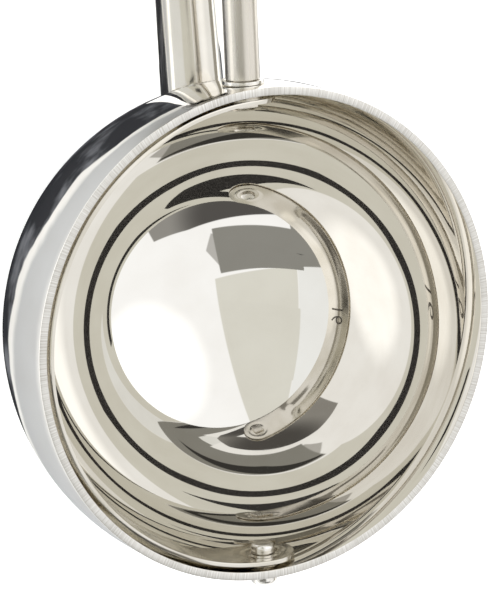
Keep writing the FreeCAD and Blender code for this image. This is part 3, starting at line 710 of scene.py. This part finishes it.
weld_bead_r = 0.28 * mm
weld_stations = 120
tube_side = shank_dir.cross(Vector((1, 0, 0)))
weld_curve = bpy.data.curves.new("shank_weld_bead", "CURVE")
weld_curve.dimensions = "3D"
weld_curve.bevel_depth = weld_bead_r
weld_curve.bevel_resolution = 4
line = weld_curve.splines.new("POLY")
line.points.add(weld_stations - 1)
line.use_cyclic_u = True
for k, station in enumerate(line.points):
    a = 2 * math.pi * k / weld_stations
    around = (Vector((1, 0, 0)) * math.cos(a) + tube_side * math.sin(a)) * (shank_r + swage_rise / 2)
    start = swage_start + around - pivot
    lean = start.dot(shank_dir)
    reach = -lean + math.sqrt(lean * lean - start.length_squared + bowl_r * bowl_r)
    swell = weld_bead_r * (1 + 0.25 * math.sin(9 * a))
    spot = pivot + start + shank_dir * (reach + 0.3 * swell)
    station.co = (*spot, 1)
    station.radius = 1 + 0.12 * math.sin(40 * a)
weld = bpy.data.objects.new("shank_weld_bead", weld_curve)
bpy.context.collection.objects.link(weld)
select_only(weld)
bpy.ops.object.convert(target="MESH")
weld = bpy.context.object


def ground_weld(shade):
    """A weld bead dressed with a file, with some ripple and heat tint left."""
    ripple = shade.noise(1500, 3)
    bump = shade.node("ShaderNodeBump", {}, {"Strength": 0.9, "Distance": 0.12 * mm, "Height": ripple})
    return {"Base Color": ripple.rise(0.35, 0.65).blend((0.50, 0.46, 0.38, 1), (0.78, 0.76, 0.71, 1)),
            "Metallic": 1.0, "Roughness": 0.28 + 0.25 * ripple, "Normal": bump}


weld_finish = finish("ground_weld", ground_weld)
weld.data.materials.append(weld_finish)
settle(weld, "shank_weld_bead")
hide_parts("shank_weld")
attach(weld, "frame")

# ---- the mechanism's plates: bracket, lever plate and hanging eye -------------------------------
# Cut and folded from 1.5 mm and 2 mm sheet, brushed along the handle.


def brushed_sheet(shade):
    """Long brush strokes, with shallow dents and rubbed places."""
    strokes = shade.noise(2400, 3, (1, 0.02, 1))
    rubbed = shade.noise(130, 4)
    bump = shade.node("ShaderNodeBump", {}, {"Strength": 0.5, "Distance": 0.015 * mm, "Height": strokes})
    return {"Base Color": strokes.rise(0.3, 0.7).blend((0.60, 0.59, 0.57, 1), (0.78, 0.77, 0.75, 1)),
            "Metallic": 1.0, "Roughness": 0.26 + 0.16 * rubbed.rise(0.35, 0.7), "Normal": bump}


def dress(material, *nodes):
    """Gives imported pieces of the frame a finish."""
    for name in nodes:
        for slot in frame["nodes"][name].material_slots:
            slot.material = material


dress(finish("brushed_sheet", brushed_sheet), "bracket", "lever_plate", "hanging_eye")
dress(weld_finish, "bracket_welds")
dress(rivet_finish, "lever_rivet", "lever_washer", "stop_pin", "lever_tube_rivets", "pinion_cross_pin",
      "retaining_clip", "drive_spacer")

# ---- the gears: pinion, crown sector and lever hub ---------------------------------------------
# Machined from bar and sheet, left as cut, with a film of grease in the teeth.


def cut_gear(shade):
    """Machined steel with cutter marks, darker where grease has settled."""
    marks = shade.noise(3800, 2, (1, 1, 0.1))
    grease = shade.noise(420, 4)
    bump = shade.node("ShaderNodeBump", {}, {"Strength": 0.4, "Distance": 0.02 * mm, "Height": marks})
    return {"Base Color": grease.rise(0.4, 0.7).blend((0.66, 0.65, 0.63, 1), (0.42, 0.40, 0.36, 1)),
            "Metallic": 1.0, "Roughness": 0.26 + 0.14 * marks.rise(0.3, 0.7), "Normal": bump}


def sintered_bronze(shade):
    """Oil-filled bronze with open pores."""
    pores = shade.noise(5200, 2)
    return {"Base Color": pores.rise(0.42, 0.6).blend((0.36, 0.24, 0.12, 1), (0.68, 0.50, 0.29, 1)),
            "Metallic": 1.0, "Roughness": 0.34 + 0.1 * pores}


dress(finish("cut_gear", cut_gear), "pinion", "crown_sector", "lever_hub")
dress(finish("sintered_bronze", sintered_bronze), "shaft_bush")

# ---- the grips: fixed handle and squeeze lever --------------------------------------------------
# Bent from 10 mm tube and buffed, closed by domed plugs, with a tapered collar where the shank goes in.
dress(tube_finish, "fixed_handle", "handle_collar", "handle_end_cap", "lever_tube", "lever_front_cap",
      "lever_end_cap")


# ---- the return spring: opens the lever again ---------------------------------------------------
# Hard drawn wire coiled round the lever's hub, one leg hooked into the bracket and one into the lever.


def drawn_wire(shade):
    """Spring wire with die lines and a straw tint."""
    lines = shade.noise(3000, 2)
    return {"Base Color": lines.rise(0.35, 0.65).blend((0.58, 0.55, 0.49, 1), (0.74, 0.72, 0.68, 1)),
            "Metallic": 1.0, "Roughness": 0.22 + 0.12 * lines}


dress(finish("drawn_wire", drawn_wire), "return_spring", "return_spring_leg")
